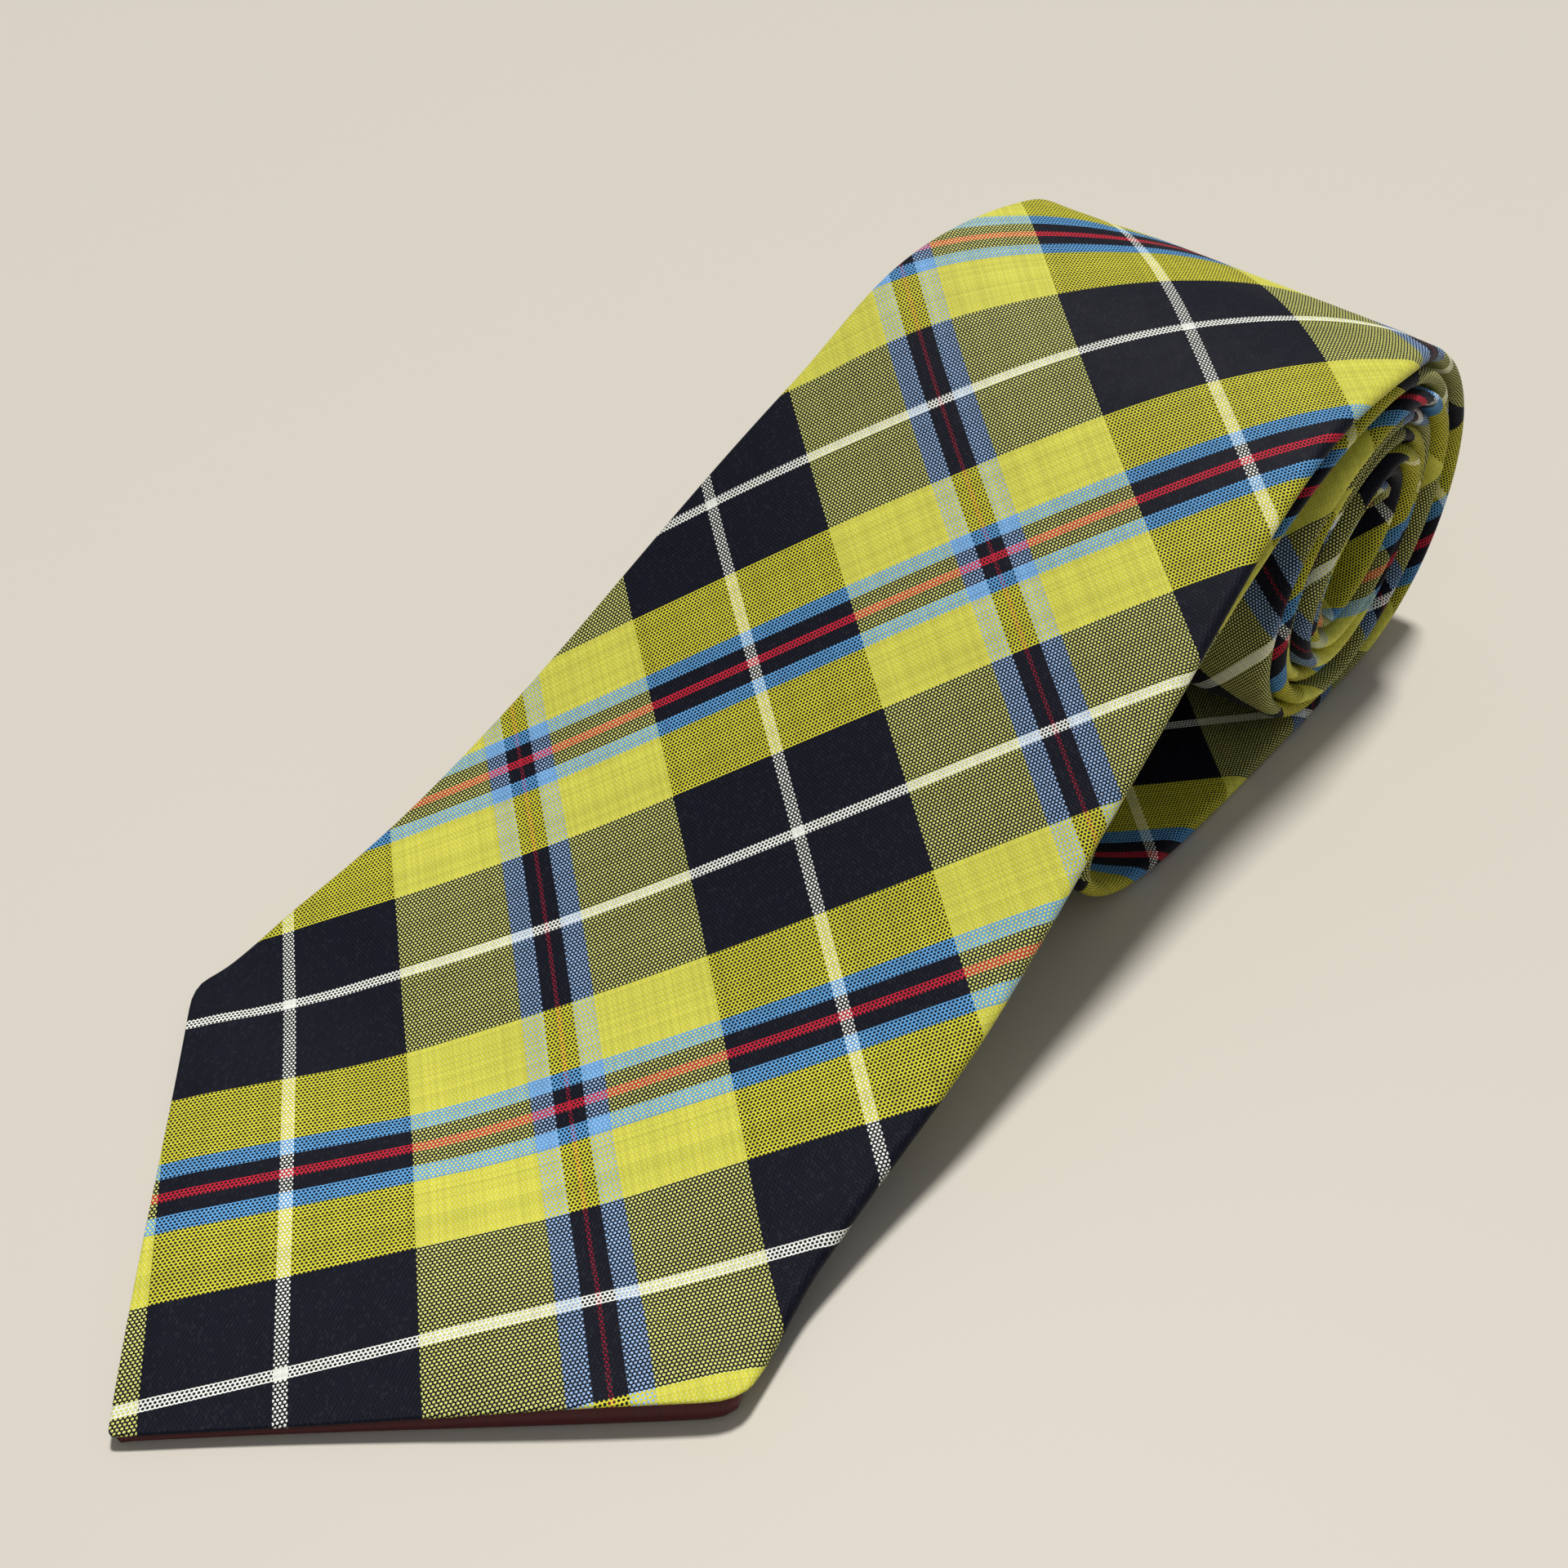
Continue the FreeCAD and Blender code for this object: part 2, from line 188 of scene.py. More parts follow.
def rise(value, start, over):
    """0 up to start and 1 from start + over on, with a smooth step between."""
    return smooth((value - start) / over)


def body_width(arc):
    """Half the band's width away from its two points: blade, neck, then tail."""
    left = np.maximum((TAPER_END - arc) / (TAPER_END - SHOULDER), 0)
    blade = NECK_HALF + (BLADE_HALF - NECK_HALF) * left ** TAPER_POWER
    wide = rise(arc, TAIL_SEAM, TAIL_WIDENING)
    return np.where(arc < TAPER_END, blade, NECK_HALF + (TAIL_HALF - NECK_HALF) * wide)


def drift(arc):
    """How far the middle lies to the right of the tip's: turns end flush in the roll."""
    wanted = FLUSH_EDGE - body_width(arc)
    wanted = np.where(wanted > 1, wanted, np.maximum(wanted + 1, 0) ** 2 / 4)
    unsteady = UNSTEADY * np.sin(arc / WAVER) * rise(arc, BLADE_CUT, 120)
    outer_turn = -OUTER_TURN_IN * rise(arc, 206, 22) * (1 - rise(arc, BLADE_CUT, 60))
    return wanted + unsteady + outer_turn + tip_shift(arc)


def tip_shift(arc):
    """The visible point is cut a little to the right of the blade's middle."""
    return 0.8 + 1.2 * rise(arc, 6, 38) - 1.5 * rise(arc, 44, 20) - 0.5 * rise(arc, 90, 40)


def settle(x, y, z):
    """How the soft tie leans: the roll sits to the right and its crest tilts."""
    x = x + ROLL_LEAN * np.clip((y - LEAN_FROM) / LEAN_OVER, 0, 1)
    z = z - CREST_TILT * x / CREST_HALF * rise(z, 15, 45)
    pinch = rise(-x, 4, 26) * rise(z, 50, 11) * (1 - 1.6 * rise(y, 197, 14))
    z = z + CREST_PEAK * pinch
    return x, y, z


def place(arc, across, out):
    """Row-frame points in metres, for arrays of arc, across and out."""
    arc, across, out = np.broadcast_arrays(*np.atleast_1d(arc, across, out))
    y = np.interp(arc, ARC, LINE[:, 0]) - out * np.interp(arc, ARC, TANGENT[:, 1])
    z = np.interp(arc, ARC, LINE[:, 1]) + out * np.interp(arc, ARC, TANGENT[:, 0])
    x, y, z = settle(across + drift(arc), y, z)
    return np.stack([x, y + TIP_Y, z + FLOOR], axis=-1) * MM


# ---- the tie's outline ---------------------------------------------------------------


def soft_min(a, b, blend):
    """The lesser of two widths, rounded where they meet."""
    mix = np.clip(0.5 + 0.5 * (b - a) / blend, 0, 1)
    return b + (a - b) * mix - blend * mix * (1 - mix)


def half_width(arc):
    """Half the visible band's width, with its blunt points and rounded shoulders."""
    arc = np.asarray(arc, float)
    body = body_width(arc) + BLADE_SWELL * rise(arc, 70, 30) * (1 - rise(arc, 130, 50))
    from_tip = np.maximum(arc - TIP_START, 0)
    point = TIP_SLOPE * np.sqrt(from_tip ** 2 + TIP_ROUND * from_tip)
    from_end = np.maximum(LENGTH - arc, 0)
    tail = np.sqrt(from_end ** 2 + TAIL_ROUND * from_end)
    return soft_min(soft_min(point, body, 3.0), tail, 2.0)


def back_opening(arc):
    """Half the gap between the back folds, which part towards each pointed end."""
    arc = np.asarray(arc, float)
    front = np.clip((BACK_CLOSED - arc) / (BACK_CLOSED - SHOULDER), 0, 1.1)
    front = (BLADE_HALF - HEM - SLIT) * front ** 2
    tail = np.clip((arc - TAIL_START + TAIL_OPENING) / TAIL_OPENING, 0, 1)
    tail = (TAIL_HALF - HEM - SLIT) * tail ** 2
    return np.minimum(SLIT + np.maximum(front, tail),
                      np.maximum(half_width(arc) - HEM * 1.5, 0))


def tipness(arc):
    """1 where the band is a point lined to its edge, 0 where the shell wraps round."""
    return np.maximum(1 - rise(arc, SHOULDER - 2, 6), smooth((arc - TAIL_START + 3) / 6))


def lift(arc, across):
    """The right shoulder stands off the table a little."""
    near_shoulder = rise(arc, 0, 36) * (1 - rise(arc, 58, 60))
    return SHOULDER_LIFT * rise(across, -12, 58) * near_shoulder


# ---- sections ------------------------------------------------------------------------


def shell_section(arc, fine):
    """The folded shell's right half, from its middle round to the hem's edge.

    Gives across, out, developed length and the angle the outer face looks in, each by
    row and column, and the developed length at which the cloth folds to the back. fine
    counts the columns of the front, side fold, back, hem's curl and hem.
    """
    half, slit, tip = half_width(arc), back_opening(arc), tipness(arc)
    front, side, back, fold, flap = fine
    radius = np.minimum(FOLD_RADIUS, 0.7 * half) * (1 - 0.65 * tip)
    low = -HALF + tip * (HALF + TIP_BACK)
    high = HALF - EDGE_DROP
    curl = np.minimum(CURL_RADIUS, 0.12 * half) * (1 - 0.3 * tip)
    inner = half - radius
    turn_in = np.minimum(slit + curl, inner)
    length = np.maximum(0, inner - turn_in - 0.3) * 0.85
    length = np.minimum(FLAP, length) * (1 - tip)
    rows = []
    for k in range(front + 1):
        t = 1 - (1 - k / front) ** 1.6
        x = inner * t
        drop = (HALF - high) * smooth(1 - (inner - x) / SOFT_EDGE)
        rows.append((x, HALF - drop, x, 0 * x + math.pi / 2))
    bulge, centre = (high - low) / 2, (high + low) / 2
    around = math.pi * (radius + bulge) / 2
    for k in range(1, side + 1):
        angle = math.pi / 2 - math.pi * k / side
        x = inner + radius * math.cos(angle)
        rows.append((x, centre + bulge * math.sin(angle), inner + around * k / side,
                     0 * x + angle))
    for k in range(1, back + 1):
        x = inner + (turn_in - inner) * k / back
        rows.append((x, low, 2 * inner + around - x, 0 * x - math.pi / 2))
    start = 2 * inner + around - turn_in
    for k in range(1, fold + 1):
        angle = -math.pi / 2 - math.pi * k / fold
        x = turn_in + curl * math.cos(angle)
        rows.append((x, low + curl + curl * math.sin(angle), start + curl * math.pi * k / fold,
                     0 * x + angle))
    for k in range(1, flap + 1):
        x = turn_in + length * k / flap
        rows.append((x, low + 2 * curl, start + curl * math.pi + x - turn_in,
                     0 * x - 1.5 * math.pi))
    table = np.array([[np.broadcast_to(v, arc.shape) for v in row] for row in rows])
    return table.transpose(1, 2, 0), inner + around / 2


def cloth_map(arc, run, fold_at, slope):
    """Flat cloth coordinates (across, along): past the side fold they are mirrored.

    slope is how fast the fold's edge moves outwards along the band.
    """
    past = np.maximum(run - fold_at, 0)
    scale = 1 + slope ** 2
    along = arc - 2 * past * slope / scale
    across = np.where(run > fold_at, fold_at + past * (1 - slope ** 2) / scale, run)
    return across, along


def joined(halves):
    """Right and left halves of a sheet as one grid of rows."""
    return np.concatenate([halves[0][:, ::-1], halves[1][:, 1:]], axis=1)


def shell_rings(arc, fine):
    """Outer and inner rows of points for the whole shell, and its cloth map."""
    (x, out, run, angle), fold_at = shell_section(arc, fine)
    slope = np.clip(np.gradient(half_width(arc), arc), -1.2, 1.2)[:, None]
    along = arc[:, None]
    across, down = cloth_map(along, run, fold_at[:, None], slope)
    outer, inner, flat = [], [], []
    for sign in (1, -1):
        raised = lift(along, sign * x)
        outer.append(place(along, sign * x, out + raised))
        thin = CLOTH * np.minimum(1, half_width(along) / 1.2)
        inner.append(place(along, sign * (x - thin * np.cos(angle)),
                           out - thin * np.sin(angle) + raised))
        flat.append(np.stack([sign * across + tip_shift(down), down], axis=-1))
    return joined(outer), joined(inner), joined(flat) * MM


# ---- mesh building -------------------------------------------------------------------


def new_object(name, points, faces, material, flat=None, smooth_shading=True, sharp=50):
    """A mesh with outward faces, a material and its cloth map, linked to the scene."""
    mesh = bpy.data.meshes.new(name)
    mesh.from_pydata(np.asarray(points, float).tolist(), [], faces)
    mesh.validate()
    tidy = bmesh.new()
    tidy.from_mesh(mesh)
    bmesh.ops.recalc_face_normals(tidy, faces=tidy.faces)
    tidy.to_mesh(mesh)
    tidy.free()
    if flat is not None:
        layer = mesh.uv_layers.new(name="Cloth")
        corner = np.zeros(len(mesh.loops), np.int32)
        mesh.loops.foreach_get("vertex_index", corner)
        layer.data.foreach_set("uv", np.asarray(flat, np.float32)[corner].ravel())
    obj = bpy.data.objects.new(name, mesh)
    bpy.context.scene.collection.objects.link(obj)
    mesh.materials.append(material)
    if smooth_shading:
        mesh.polygons.foreach_set("use_smooth", [True] * len(mesh.polygons))
        mesh.set_sharp_from_angle(angle=math.radians(sharp))
    mesh.update()
    return obj


def quads(rows, cols, start=0, flip=False, wrap=False):
    """Quads of a grid of points, row by row, closed into a tube where wrap is set."""
    faces = []
    last = cols if wrap else cols - 1
    for r in range(rows - 1):
        for c in range(last):
            d = (c + 1) % cols
            a, b = start + r * cols, start + (r + 1) * cols
            face = (a + c, a + d, b + d, b + c)
            faces.append(face[::-1] if flip else face)
    return faces


def two_layer(name, outer, inner, flat, material):
    """A thin closed sheet with an outer and an inner face."""
    rows, cols = outer.shape[:2]
    size = rows * cols
    points = np.concatenate([outer.reshape(-1, 3), inner.reshape(-1, 3)])
    faces = quads(rows, cols, 0) + quads(rows, cols, size, flip=True)
    for c in range(cols - 1):
        faces.append((c + 1, c, size + c, size + c + 1))
        top = (rows - 1) * cols
        faces.append((top + c, top + c + 1, size + top + c + 1, size + top + c))
    for r in range(rows - 1):
        a, b = r * cols, (r + 1) * cols
        faces.append((a, b, size + b, size + a))
        a, b = a + cols - 1, b + cols - 1
        faces.append((b, a, size + a, size + b))
    uv = np.concatenate([flat.reshape(-1, 2)] * 2)
    return new_object(name, points, faces, material, uv)


def solid_strip(name, rings, flat, material):
    """A closed solid from rings of points, capped at both ends."""
    rows, cols = rings.shape[:2]
    faces = quads(rows, cols, wrap=True)
    faces.append(tuple(range(cols))[::-1])
    faces.append(tuple(range((rows - 1) * cols, rows * cols)))
    return new_object(name, rings.reshape(-1, 3), faces, material, flat.reshape(-1, 2),
                      sharp=60)


def rows_between(start, end, step):
    """Even rows from start to end, no further apart than step."""
    return np.linspace(start, end, max(2, int(math.ceil((end - start) / step)) + 1))


# ---- materials -----------------------------------------------------------------------


class Graph:
    """A short way to write a material's nodes."""

    def __init__(self, name):
        self.material = bpy.data.materials.new(name)
        self.material.use_nodes = True
        self.nodes = self.material.node_tree.nodes
        self.links = self.material.node_tree.links
        self.shader = self.nodes["Principled BSDF"]

    def add(self, kind, **props):
        made = self.nodes.new("ShaderNode" + kind)
        for key, value in props.items():
            setattr(made, key, value)
        return made

    def put(self, value, socket):
        if isinstance(value, bpy.types.NodeSocket):
            self.links.new(value, socket)
        else:
            socket.default_value = value

    def math(self, operation, *values):
        made = self.add("Math", operation=operation)
        for value, socket in zip(values, made.inputs):
            self.put(value, socket)
        return made.outputs[0]

    def mix(self, factor, one, other, blend="MIX"):
        made = self.add("Mix", data_type="RGBA", blend_type=blend)
        self.put(factor, made.inputs[0])
        self.put(one, made.inputs[6])
        self.put(other, made.inputs[7])
        return made.outputs[2]

    def stripes(self, value, stops):
        made = self.add("ValToRGB")
        made.color_ramp.interpolation = "CONSTANT"
        parts = made.color_ramp.elements
        while len(parts) < len(stops):
            parts.new(1.0)
        for part, (position, colour) in zip(parts, stops):
            part.position = position
            part.color = colour
        self.put(value, made.inputs[0])
        return made.outputs[0]

    def noise(self, vector, scale, detail, roughness=0.5):
        made = self.add("TexNoise")
        self.put(vector, made.inputs["Vector"])
        made.inputs["Scale"].default_value = scale
        made.inputs["Detail"].default_value = detail
        made.inputs["Roughness"].default_value = roughness
        return made.outputs[0]

    def random(self, one, two):
        made = self.add("TexWhiteNoise", noise_dimensions="2D")
        pair = self.add("CombineXYZ")
        self.put(one, pair.inputs[0])
        self.put(two, pair.inputs[1])
        self.links.new(pair.outputs[0], made.inputs["Vector"])
        return made.outputs["Value"]

    def flat(self):
        """The cloth's own coordinates: across and along, in metres."""
        uv = self.add("UVMap", uv_map="Cloth")
        parts = self.add("SeparateXYZ")
        self.links.new(uv.outputs[0], parts.inputs[0])
        return uv.outputs[0], parts.outputs[0], parts.outputs[1]

    def bump(self, height, distance, strength, normal=None):
        made = self.add("Bump")
        made.inputs["Strength"].default_value = strength
        made.inputs["Distance"].default_value = distance
        self.put(height, made.inputs["Height"])
        if normal is not None:
            self.put(normal, made.inputs["Normal"])
        return made.outputs[0]

    def surface(self, colour, roughness, normal=None, **settings):
        self.put(colour, self.shader.inputs["Base Color"])
        self.put(roughness, self.shader.inputs["Roughness"])
        if normal is not None:
            self.put(normal, self.shader.inputs["Normal"])
        for key, value in settings.items():
            self.shader.inputs[key.replace("_", " ")].default_value = value
        return self.material


def linear(red, green, blue):
    """A display colour from 0 to 255 as linear light."""
    return tuple(((v / 255 + 0.055) / 1.055) ** 2.4 if v > 10 else v / 255 / 12.92
                 for v in (red, green, blue)) + (1.0,)


IVORY = linear(242, 244, 236)
NAVY = linear(6, 9, 26)
YELLOW = linear(216, 210, 56)
PALE_YELLOW = linear(219, 220, 122)
SKY = linear(96, 164, 222)
PALE_SKY = linear(158, 192, 236)
CRIMSON = linear(204, 32, 56)
WINE = linear(140, 18, 44)

# Half a repeat of each family of stripes, from its white line to its middle: where each
# colour begins, as a share of that half.
UP_STRIPES = ((0, IVORY), (0.0226, NAVY), (0.428, PALE_YELLOW), (0.863, PALE_SKY),
              (0.943, NAVY), (0.992, WINE))
CROSS_STRIPES = ((0, IVORY), (0.0262, NAVY), (0.456, YELLOW), (0.812, SKY),
                 (0.8952, NAVY), (0.9752, CRIMSON))
UP_REPEAT = (55.34, 40.5)       # one repeat of the upright family, (along, across), mm
CROSS_REPEAT = (34.33, -42.19)  # one repeat of the crossing family
ORIGIN = (16.95, 9.33)          # a crossing of two white lines, (along, across)
THREAD_UP = 0.25                # distance between upright threads
THREAD_CROSS = 0.43             # distance between crossing threads
DOT = 0.163                     # radius of an upright thread where it shows on the face


def check_twill(name):
    """Woven check: the upright threads show as staggered dots over the crossing ones."""
    g = Graph(name)
    vector, across, along = g.flat()
    area = UP_REPEAT[0] * CROSS_REPEAT[1] - CROSS_REPEAT[0] * UP_REPEAT[1]
    a = g.math("SUBTRACT", along, ORIGIN[0] * MM)
    b = g.math("SUBTRACT", across, ORIGIN[1] * MM)

    def phase(per_along, per_across):
        """How many repeats a place lies from the crossing at ORIGIN, one way."""
        left = g.math("MULTIPLY", a, per_along / area / MM)
        return g.math("MULTIPLY_ADD", b, per_across / area / MM, left)

    up = phase(CROSS_REPEAT[1], -CROSS_REPEAT[0])
    cross = phase(-UP_REPEAT[1], UP_REPEAT[0])
    wobble = g.math("SUBTRACT", g.noise(vector, 260.0, 2.0), 0.5)
    wobble = g.math("MULTIPLY", wobble, 0.0012)

    def thread_colour(phase_at, stops):
        """A thread's colour: the half repeat of stripes, there and back."""
        folded = g.math("PINGPONG", g.math("ADD", phase_at, wobble), 0.5)
        return g.stripes(g.math("MULTIPLY", folded, 2.0), stops)

    up_colour = thread_colour(up, UP_STRIPES)
    cross_colour = thread_colour(cross, CROSS_STRIPES)

    u = g.math("MULTIPLY", up, abs(area) / math.hypot(*CROSS_REPEAT) / THREAD_UP)
    v = g.math("MULTIPLY", cross, abs(area) / math.hypot(*UP_REPEAT) / THREAD_CROSS)
    i, j = g.math("FLOOR", u), g.math("FLOOR", v)
    dj = g.math("SUBTRACT", g.math("FRACT", v), 0.5)

    def from_dot(start):
        """Squared distance to the nearest dot of one of the two staggered sets."""
        x = g.math("SUBTRACT", g.math("FRACT", g.math("MULTIPLY_ADD", u, 0.5, start)), 0.5)
        y = g.math("SUBTRACT", g.math("FRACT", g.math("MULTIPLY_ADD", v, 0.5, start)), 0.5)
        x = g.math("MULTIPLY", x, 2 * THREAD_UP / DOT)
        y = g.math("MULTIPLY", y, 2 * THREAD_CROSS / DOT)
        return g.math("MULTIPLY_ADD", x, x, g.math("MULTIPLY", y, y))

    spread = g.math("MINIMUM", from_dot(0.0), from_dot(0.5))
    dot = g.math("LESS_THAN", spread, 1.0)
    woven = g.mix(dot, cross_colour, up_colour)

    # Each thread is a little lighter or darker at random, and each dot has a ring of painted shade
    # in the groove round it.
    shade = g.math("MULTIPLY_ADD", g.random(j, 7.0), 0.16, 0.86)
    shade_up = g.math("MULTIPLY_ADD", g.random(i, 3.0), 0.16, 0.88)
    shade = g.math("MULTIPLY", shade, shade_up)
    # Painted shade: the colour darkens in the groove round each dot, and is a little lighter
    # between the grooves.
    ring = g.math("COMPARE", spread, 1.15, 0.3)
    groove_shade = g.math("MULTIPLY_ADD", ring, -0.34, 1.08)
    shade = g.math("MULTIPLY", shade, groove_shade)
    patchy = g.math("MULTIPLY_ADD", g.noise(vector, 90.0, 3.0), 0.22, 0.9)
    shade = g.math("MULTIPLY", shade, patchy)
    grey = g.add("CombineColor")
    for socket in grey.inputs:
        g.put(shade, socket)
    colour = g.mix(1.0, woven, grey.outputs[0], "MULTIPLY")
    fleck = g.math("GREATER_THAN", g.random(i, j), 0.9)
    colour = g.mix(g.math("MULTIPLY", fleck, 0.012), colour, linear(190, 200, 205))

    # Dots stand up as domes between the crossing threads' ridges.
    dome = g.math("MULTIPLY_ADD", spread, -0.8, 1.0)
    ridge = g.math("MULTIPLY_ADD", g.math("MULTIPLY", dj, dj), -2.4, 0.62)
    height = g.add("Mix", data_type="FLOAT")
    g.put(dot, height.inputs[0])
    g.put(ridge, height.inputs[2])
    g.put(dome, height.inputs[3])
    weave = g.bump(height.outputs[0], 0.00007, 0.75)
    soft = g.bump(g.noise(vector, 55.0, 3.0), 0.0011, 0.30, weave)
    rough = g.math("MULTIPLY_ADD", g.noise(vector, 400.0, 2.0), 0.16, 0.52)
    return g.surface(colour, rough, soft, Specular_IOR_Level=0.14, Sheen_Weight=0.03,
                     Sheen_Roughness=0.4)


def satin(name, colour, dark, pitch=0.22, roughness=0.36, edge=None):
    """Fine satin: long floats along the piece, staggered over five threads."""
    g = Graph(name)
    vector, across, along = g.flat()
    line = g.math("MULTIPLY", across, 1 / (pitch * MM))
    thread = g.math("FLOOR", line)
    offset = g.math("SUBTRACT", g.math("FRACT", line), 0.5)
    ridge = g.math("MULTIPLY", offset, offset)
    stagger = g.math("FLOORED_MODULO", g.math("MULTIPLY", thread, 2.0), 5.0)
    float_at = g.math("MULTIPLY_ADD", stagger, 0.2,
                      g.math("MULTIPLY", along, 1 / (pitch * 5 * MM)))
    step = g.math("SUBTRACT", g.math("FRACT", float_at), 0.5)
    step = g.math("MULTIPLY", step, step)
    height = g.math("SUBTRACT", g.math("MULTIPLY", ridge, -2.4), step)
    tone = g.math("MULTIPLY_ADD", g.random(thread, 2.0), 0.22, 0.36)
    tone = g.math("ADD", tone, g.math("MULTIPLY", g.noise(vector, 120.0, 3.0), 0.22))
    shade = g.mix(tone, dark, colour)
    if edge is not None:
        shade = edge(g, across, along, shade)
    normal = g.bump(height, 0.00005, 0.7)
    normal = g.bump(g.noise(vector, 70.0, 3.0), 0.0010, 0.35, normal)
    rough = g.math("MULTIPLY_ADD", g.noise(vector, 300.0, 2.0), 0.14, roughness)
    return g.surface(shade, rough, normal, Specular_IOR_Level=0.2, Sheen_Weight=0.02,
                     Sheen_Roughness=0.35)


def woolly(name):
    """Brushed wool interlining with loose fibres."""
    g = Graph(name)
    vector = g.flat()[0]
    fibre = g.noise(vector, 900.0, 6.0, 0.7)
    cloud = g.noise(vector, 60.0, 3.0)
    tone = g.math("ADD", g.math("MULTIPLY", fibre, 0.6), g.math("MULTIPLY", cloud, 0.4))
    colour = g.mix(tone, linear(176, 166, 140), linear(238, 232, 214))
    normal = g.bump(fibre, 0.0004, 0.8)
    rough = g.math("MULTIPLY_ADD", fibre, 0.1, 0.85)
    return g.surface(colour, rough, normal, Specular_IOR_Level=0.2, Sheen_Weight=0.4,
                     Sheen_Roughness=0.6)


def spun(name, colour, dark):
    """Twisted sewing thread: slanted plies along each stitch, with painted shade between the
    plies.
    """
    g = Graph(name)
    vector, across, along = g.flat()
    slant = g.math("ADD", g.math("MULTIPLY", along, 5200.0), g.math("MULTIPLY", across, 2600.0))
    ply = g.math("MULTIPLY_ADD", g.math("SINE", slant), 0.5, 0.5)
    # The colour follows the twist: painted shade between the plies and lighter crowns, with noise
    # for the thread's own uneven tone.
    tone = g.math("MULTIPLY_ADD", g.noise(vector, 800.0, 3.0), 0.35,
                  g.math("MULTIPLY", ply, 0.65))
    shade = g.mix(tone, dark, colour)
    rough = g.math("MULTIPLY_ADD", ply, -0.12, 0.55)
    return g.surface(shade, rough, g.bump(ply, 0.00008, 0.8), Specular_IOR_Level=0.4,
                     Sheen_Weight=0.2, Sheen_Roughness=0.5)


def framed(width, height, inset, line, colour):
    """A woven border line just inside the edges of a label, as satin()'s edge."""
    def edge(g, across, along, shade):
        x = g.math("ABSOLUTE", across)
        y = g.math("ABSOLUTE", along)
        gap = g.math("MINIMUM", g.math("SUBTRACT", width / 2 * MM, x),
                     g.math("SUBTRACT", height / 2 * MM, y))
        on = g.math("COMPARE", gap, (inset + line / 2) * MM, line / 2 * MM)
        return g.mix(on, shade, colour)
    return edge


CHECK = check_twill("check_twill")
TIPPING = satin("tipping_satin", linear(84, 9, 22), linear(44, 4, 11))
WOOL = woolly("wool_interlining")
# The second colour of each sewing thread is the painted shade between its plies.
SEWING = spun("sewing_thread", linear(214, 196, 70), linear(120, 104, 26))
DARK_SEWING = spun("dark_thread", linear(40, 46, 80), linear(12, 14, 32))
LABEL_W, LABEL_H = 52.0, 26.0                   # mm
TAB_W, TAB_H = 16.0, 13.0
LABEL = satin("label_satin", linear(30, 36, 66), linear(12, 15, 34), 0.25, 0.4,
              framed(LABEL_W, LABEL_H, 1.6, 0.9, linear(196, 178, 96)))
TAB = satin("tab_satin", linear(240, 238, 230), linear(206, 203, 194), 0.2, 0.38,
            framed(TAB_W, TAB_H, 0.9, 0.35, linear(150, 148, 142)))


# ---- camera --------------------------------------------------------------------------

CAMERA_AT = (0.1219, -0.14425, 0.1766)          # metres
CAMERA_AZ = math.radians(41.0)
CAMERA_EL = math.radians(40.4)
CAMERA_ROLL = math.radians(-1.0)
LENS = 42.2
SENSOR = 36.0


def make_camera():
    """The photograph's camera, fitted to the tie's outline."""
    data = bpy.data.cameras.new("camera")
    data.lens = LENS
    data.sensor_width = SENSOR
    data.clip_start = 0.01
    data.clip_end = 20.0
    camera = bpy.data.objects.new("camera", data)
    bpy.context.scene.collection.objects.link(camera)
    back = Vector((math.sin(CAMERA_AZ) * math.cos(CAMERA_EL),
                   -math.cos(CAMERA_AZ) * math.cos(CAMERA_EL), math.sin(CAMERA_EL)))
    right = Vector((math.cos(CAMERA_AZ), math.sin(CAMERA_AZ), 0))
    up = back.cross(right)
    turned = right * math.cos(CAMERA_ROLL) + up * math.sin(CAMERA_ROLL)
    upright = up * math.cos(CAMERA_ROLL) - right * math.sin(CAMERA_ROLL)
    axes = Matrix((turned, upright, back)).transposed().to_4x4()
    axes.translation = CAMERA_AT
    camera.matrix_world = axes
    bpy.context.scene.camera = camera


make_camera()


# ---- cloth pieces --------------------------------------------------------------------

FINE = (26, 8, 10, 5, 3)        # columns of the shell's section, as shell_section() says
ROLLED = (16, 7, 7, 4, 2)
PLAIN = (10, 6, 5, 4, 2)
FOLD_REACH = 8.0                # how far the two TIP_FOLD points lie to each side of the shoulder, mm


def pattern(arc, fine):
    """The flat cut of a stretch of shell in metres: widest width and length, and area."""
    (_, _, run, _), _ = shell_section(arc, fine)
    width = 2 * run[:, -1] * MM
    length = (arc[-1] - arc[0]) * MM
    area = float(np.sum((width[1:] + width[:-1]) / 2 * np.diff(arc) * MM))
    return (float(width.max()), length), min(area, float(width.max()) * length)


def shell_piece(name, arc, fine, nodes):
    """A stretch of the check cloth, folded as a tie is, in place of its CAD nodes."""
    outer, inner, flat = shell_rings(arc, fine)
    piece = two_layer(name, outer, inner, flat, CHECK)
    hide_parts(*nodes)
    size, area = pattern(arc, fine)
    return piece


DENSE = 4.0                     # length over which rows crowd towards a point, mm


def point_rows(start, end):
    """Rows from the front point at start, crowded near it."""
    near = start + DENSE * np.linspace(0.12, 1, 9) ** 2
    return np.concatenate([near, rows_between(start + DENSE, end, 1.3)[1:]])


def tail_rows(start, end, step):
    """Rows to the tail's point at end, crowded near it."""
    near = end - DENSE * np.linspace(1, 0.12, 9) ** 2
    return np.concatenate([rows_between(start, end - DENSE, step), near[1:]])


def row_point(arc):
    """The band's front face at its middle, in row-frame metres."""
    return tuple(float(v) for v in place(arc, 0.0, HALF)[0])


TIP_FOLD = (row_point(SHOULDER - FOLD_REACH), row_point(SHOULDER + FOLD_REACH))
LIFT_AT = row_point(LIFT_LINE)

